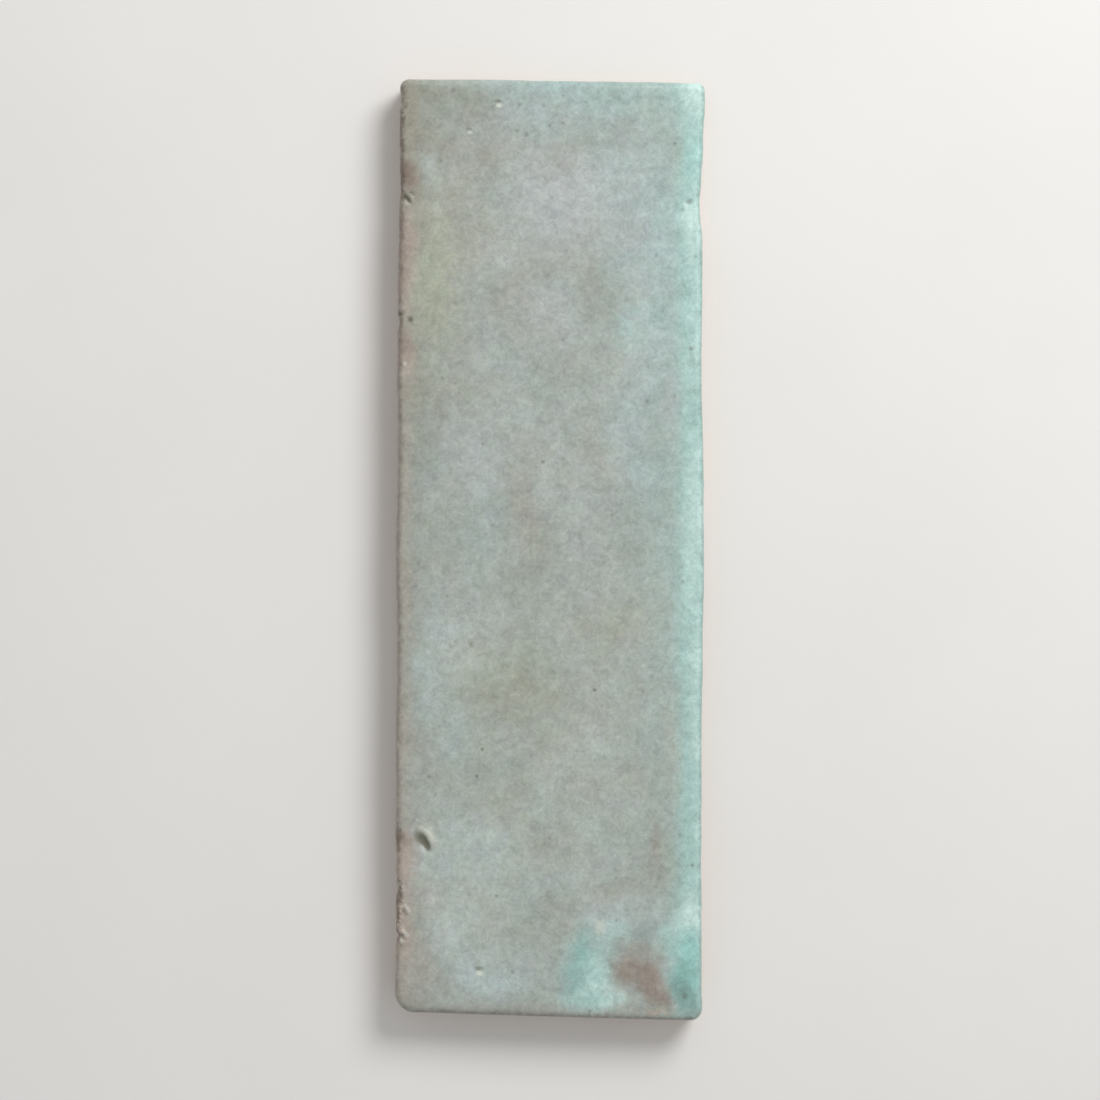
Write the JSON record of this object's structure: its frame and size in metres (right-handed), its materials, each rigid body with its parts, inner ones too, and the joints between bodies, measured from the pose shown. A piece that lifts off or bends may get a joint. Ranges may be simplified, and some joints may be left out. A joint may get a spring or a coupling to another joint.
{
  "type": "subway wall tile",
  "caption": "Oblong hand-pressed ceramic wall tile with a pillowed glazed face, softly rolled edges, slightly out-of-square sides and a flat bare back for bedding in adhesive.",
  "frame": {"origin": "middle of the tile's back, on the surface it lies on", "axes": "+Z out of the glazed face, +Y along the tile's length towards the end that is up in the picture, +X across it to the picture's right"},
  "size_m": [0.065, 0.1979, 0.011],
  "materials": {
    "glazed_clay": "satin"
  },
  "bodies": {
    "root": {"wall_tile": "glazed_clay"}
  },
  "joints": []
}
